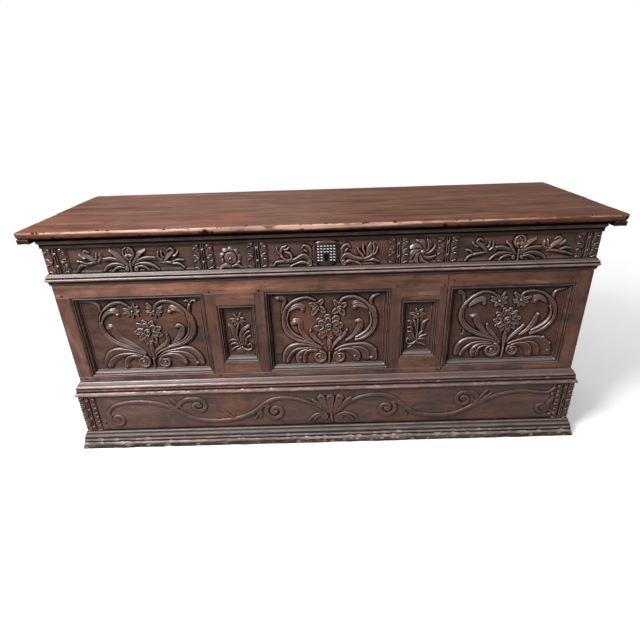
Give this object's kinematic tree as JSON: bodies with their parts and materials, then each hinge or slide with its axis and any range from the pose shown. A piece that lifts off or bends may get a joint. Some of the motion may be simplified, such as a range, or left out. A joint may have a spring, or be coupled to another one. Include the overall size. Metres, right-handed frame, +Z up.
{
  "type": "cassone",
  "caption": "Long low walnut chest with a hinged plank lid, carved frieze, framed carved panels, a cupboard door at the right of the front and a carved base.",
  "frame": {"origin": "on the floor, under the middle of the whole chest", "axes": "+X along the front towards the door, +Y from the front to the back, +Z up"},
  "size_m": [1.588, 0.5263, 0.707],
  "materials": {
    "frame_walnut": "waxed, worn",
    "carved_walnut": "waxed, worn, dusty in the hollows",
    "lid_walnut": "waxed",
    "inner_wood": "bare, aged",
    "lock_iron": "wrought, dull",
    "hinge_iron": "wrought, rusted"
  },
  "bodies": {
    "case": {"back_planks": "inner_wood", "base_back_board": "inner_wood", "base_blocks": "carved_walnut", "base_front_board": "carved_walnut", "base_left_board": "frame_walnut", "base_right_board": "frame_walnut", "bottom_board": "inner_wood", "bottom_rail": "frame_walnut", "centre_panel": "carved_walnut", "centre_panel_moulding": "frame_walnut", "cupboard_partition": "inner_wood", "cupboard_shelf": "inner_wood", "cupboard_top": "inner_wood", "frame_pegs": "frame_walnut", "frieze_blocks": "carved_walnut", "frieze_board": "carved_walnut", "hinge_pins": "hinge_iron", "hinge_plates": "hinge_iron", "left_panel": "carved_walnut", "left_panel_moulding": "frame_walnut", "left_side_board": "frame_walnut", "left_small_moulding": "frame_walnut", "left_small_panel": "carved_walnut", "left_stile": "frame_walnut", "lock_case": "lock_iron", "lock_plate": "lock_iron", "lower_moulding_ends": "frame_walnut", "lower_moulding_front": "frame_walnut", "plinth_moulding_ends": "frame_walnut", "plinth_moulding_front": "frame_walnut", "post_1": "frame_walnut", "post_2": "frame_walnut", "post_3": "frame_walnut", "post_4": "frame_walnut", "right_side_board": "frame_walnut", "right_small_moulding": "frame_walnut", "right_small_panel": "carved_walnut", "short_rails": "frame_walnut", "top_moulding_ends": "frame_walnut", "top_moulding_front": "frame_walnut", "top_rail": "frame_walnut", "waist_moulding_ends": "frame_walnut", "waist_moulding_front": "frame_walnut"},
    "lid": {"hinge_straps": "hinge_iron", "lid_battens": "lid_walnut", "lid_front_board": "lid_walnut", "lid_rear_board": "lid_walnut", "lid_staple": "lock_iron"},
    "door": {"door_bottom_rail": "frame_walnut", "door_closing_stile": "frame_walnut", "door_hinge_stile": "frame_walnut", "door_lock_case": "lock_iron", "door_panel": "carved_walnut", "door_panel_moulding": "frame_walnut", "door_pegs": "frame_walnut", "door_pivots": "hinge_iron", "door_top_rail": "frame_walnut"},
    "lock_bolt": {"lock_bolt": "lock_iron"},
    "door_bolt": {"door_bolt": "lock_iron"}
  },
  "joints": [
    {"name": "lid_hinge", "type": "hinge", "parent": "case", "child": "lid", "pos_m": [0, 0.25715, 0.688], "axis": [-1, 0, 0], "range_deg": [0, 100]},
    {"name": "door_hinge", "type": "hinge", "parent": "case", "child": "door", "pos_m": [0.737, -0.21615, 0.393], "axis": [0, 0, 1], "range_deg": [0, 90]},
    {"name": "lock_bolt_slide", "type": "slide", "parent": "case", "child": "lock_bolt", "axis": [-1, 0, 0], "range_m": [0, 0.012]},
    {"name": "door_bolt_slide", "type": "slide", "parent": "door", "child": "door_bolt", "axis": [-1, 0, 0], "range_m": [0, 0.013]}
  ]
}
